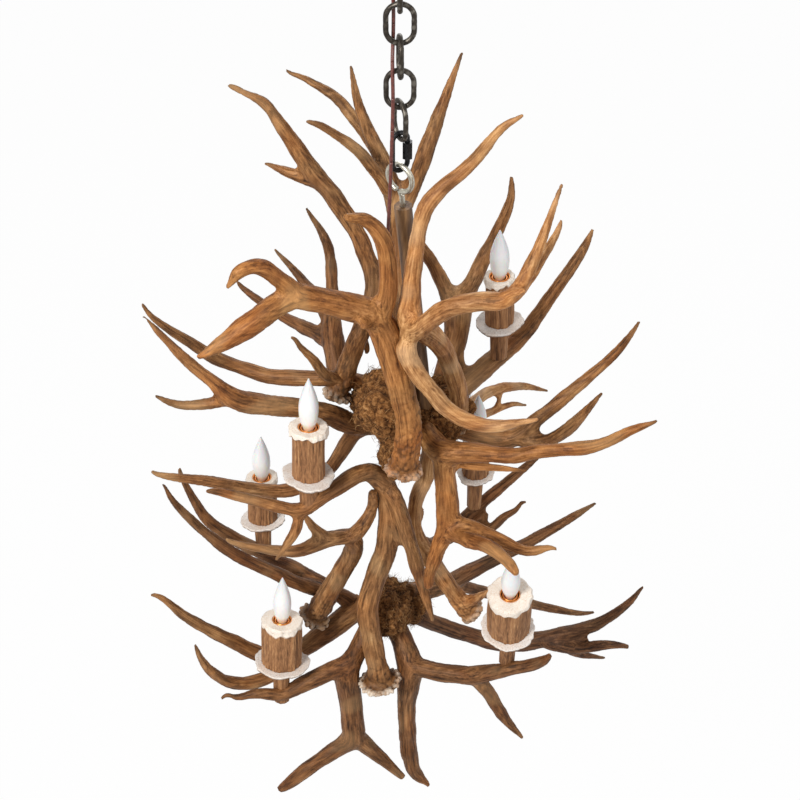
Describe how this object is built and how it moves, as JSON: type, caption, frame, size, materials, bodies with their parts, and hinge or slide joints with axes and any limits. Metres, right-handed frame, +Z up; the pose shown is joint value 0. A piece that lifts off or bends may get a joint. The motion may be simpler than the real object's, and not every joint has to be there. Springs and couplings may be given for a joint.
{
  "type": "antler chandelier",
  "caption": "Hanging light built from shed deer antlers with candle lamps on antler drip pans, hung by a short chain from a round ceiling canopy.",
  "frame": {"origin": "middle of the ceiling face, where the crossbar and the canopy rim lie against the ceiling", "axes": "+Z up, the chain hangs along -Z, -Y is the front of the picture and +X its right"},
  "size_m": [0.7027, 0.459, 1.3469],
  "materials": {
    "antler_brown": "satin, grooved and pearled antler",
    "antler_dark": "satin, older darker antler",
    "antler_tan": "satin, lighter worn antler",
    "antler_bark": "rough, deeply grooved antler",
    "cut_bone": "matt sawn antler face",
    "frosted_glass": "frosted, slightly glossy",
    "socket_plastic": "glossy insulating shell with a copper coloured rim",
    "chain_iron": "oiled dark bronze, semi-matt",
    "black_steel": "gloss black",
    "zinc_steel": "dull zinc plate",
    "canopy_steel": "oiled dark bronze, semi-matt",
    "post_wood": "plain turned rod",
    "mossy_filler": "rough fibrous filler",
    "cord_brown": "satin brown jacket",
    "bushing_rubber": "matt black"
  },
  "bodies": {
    "mount": {"ceiling_crossbar": "zinc_steel", "canopy_nipple": "zinc_steel", "canopy": "canopy_steel", "canopy_loop": "canopy_steel", "cord_bushing": "bushing_rubber"},
    "collar": {"loop_collar": "canopy_steel"},
    "link_1": {"chain_link_1": "chain_iron"},
    "link_2": {"chain_link_2": "chain_iron"},
    "link_3": {"chain_link_3": "chain_iron"},
    "link_4": {"chain_link_4": "chain_iron"},
    "link_5": {"chain_link_5": "chain_iron"},
    "link_6": {"chain_link_6": "chain_iron"},
    "hanger": {"quick_link": "black_steel"},
    "sleeve": {"quick_link_sleeve": "black_steel"},
    "fixture": {"eye_bolt": "zinc_steel", "hanging_post": "post_wood", "filler_upper": "mossy_filler", "filler_lower": "mossy_filler", "antler_back_fork": "antler_dark", "antler_back_left": "antler_dark", "antler_back_right": "antler_tan", "antler_centre_left": "antler_brown", "antler_front_left_high": "antler_brown", "antler_front_right_high": "antler_tan", "antler_left_high": "antler_dark", "antler_left_low_back": "antler_dark", "antler_left_low_fork": "antler_brown", "antler_left_mid": "antler_dark", "antler_low_front_left": "antler_brown", "antler_low_left": "antler_brown", "antler_low_right_back": "antler_dark", "antler_low_right_front": "antler_brown", "antler_right_front": "antler_brown", "antler_right_high": "antler_brown", "antler_right_inner": "antler_tan", "antler_right_low_back": "antler_brown", "antler_right_mid_back": "antler_dark", "antler_right_upper": "antler_brown", "antler_top_back": "antler_dark", "antler_upper_left": "antler_dark", "candle_cover_1": "antler_bark", "candle_cover_2": "antler_bark", "candle_cover_3": "antler_bark", "candle_cover_4": "antler_bark", "candle_cover_5": "antler_bark", "candle_cover_6": "antler_bark", "candle_pans": "cut_bone", "candle_sockets": "socket_plastic", "candle_stubs": "antler_dark", "candle_nipples": "zinc_steel", "power_cord": "cord_brown"},
    "bulb_1": {"candle_bulb_1": "frosted_glass"},
    "bulb_2": {"candle_bulb_2": "frosted_glass"},
    "bulb_3": {"candle_bulb_3": "frosted_glass"},
    "bulb_4": {"candle_bulb_4": "frosted_glass"},
    "bulb_5": {"candle_bulb_5": "frosted_glass"},
    "bulb_6": {"candle_bulb_6": "frosted_glass"}
  },
  "joints": [
    {"name": "collar_turn", "type": "hinge", "parent": "mount", "child": "collar", "pos_m": [0, 0, -0.03], "axis": [0, 0, 1], "range_deg": [0, 1440]},
    {"name": "swing_1", "type": "hinge", "parent": "mount", "child": "link_1", "pos_m": [0, 0, -0.0625], "axis": [0, 1, 0], "range_deg": [-10, 10], "deforming": ["power_cord"]},
    {"name": "swing_2", "type": "hinge", "parent": "link_1", "child": "link_2", "pos_m": [0, 0, -0.1015], "axis": [1, 0, 0], "range_deg": [-10, 10], "deforming": ["power_cord"]},
    {"name": "swing_3", "type": "hinge", "parent": "link_2", "child": "link_3", "pos_m": [0, 0, -0.1401], "axis": [0, 1, 0], "range_deg": [-10, 10], "deforming": ["power_cord"]},
    {"name": "swing_4", "type": "hinge", "parent": "link_3", "child": "link_4", "pos_m": [0, 0, -0.1787], "axis": [1, 0, 0], "range_deg": [-10, 10], "deforming": ["power_cord"]},
    {"name": "swing_5", "type": "hinge", "parent": "link_4", "child": "link_5", "pos_m": [0, 0, -0.2173], "axis": [-0.0872, 0.9962, 0], "range_deg": [-10, 10], "deforming": ["power_cord"]},
    {"name": "swing_6", "type": "hinge", "parent": "link_5", "child": "link_6", "pos_m": [0, 0, -0.2559], "axis": [1, 0, 0], "range_deg": [-10, 10], "deforming": ["power_cord"]},
    {"name": "hanger_swing", "type": "hinge", "parent": "link_6", "child": "hanger", "pos_m": [0, 0, -0.2945], "axis": [-0.4226, 0.9063, 0], "range_deg": [-10, 10], "deforming": ["power_cord"]},
    {"name": "fixture_swing", "type": "hinge", "parent": "hanger", "child": "fixture", "pos_m": [0, 0, -0.33605], "axis": [0.8829, 0.4695, 0], "range_deg": [-8, 8], "deforming": ["power_cord"]},
    {"name": "sleeve_turn", "type": "hinge", "parent": "hanger", "child": "sleeve", "pos_m": [0.00839, 0.00446, -0.31205], "axis": [0, 0, 1], "range_deg": [0, 1440]},
    {"name": "bulb_1_turn", "type": "hinge", "parent": "fixture", "child": "bulb_1", "pos_m": [0.127, 0.08, -0.6107], "axis": [-0.0314, 0, 0.9995], "range_deg": [0, 1080]},
    {"name": "bulb_2_turn", "type": "hinge", "parent": "fixture", "child": "bulb_2", "pos_m": [-0.114, -0.088, -0.7227], "axis": [0.0311, 0.1378, 0.99], "range_deg": [0, 1080]},
    {"name": "bulb_3_turn", "type": "hinge", "parent": "fixture", "child": "bulb_3", "pos_m": [-0.194, 0.07, -0.9507], "axis": [0.026, 0.1039, 0.9942], "range_deg": [0, 1080]},
    {"name": "bulb_4_turn", "type": "hinge", "parent": "fixture", "child": "bulb_4", "pos_m": [-0.164, -0.092, -1.0707], "axis": [0.0427, 0.2034, 0.9782], "range_deg": [0, 1080]},
    {"name": "bulb_5_turn", "type": "hinge", "parent": "fixture", "child": "bulb_5", "pos_m": [0.145, -0.112, -0.9767], "axis": [-0.0174, -0.1039, 0.9944], "range_deg": [0, 1080]},
    {"name": "bulb_6_turn", "type": "hinge", "parent": "fixture", "child": "bulb_6", "pos_m": [0.107, 0.114, -0.9027], "axis": [0, 0, 1], "range_deg": [0, 1080]}
  ]
}
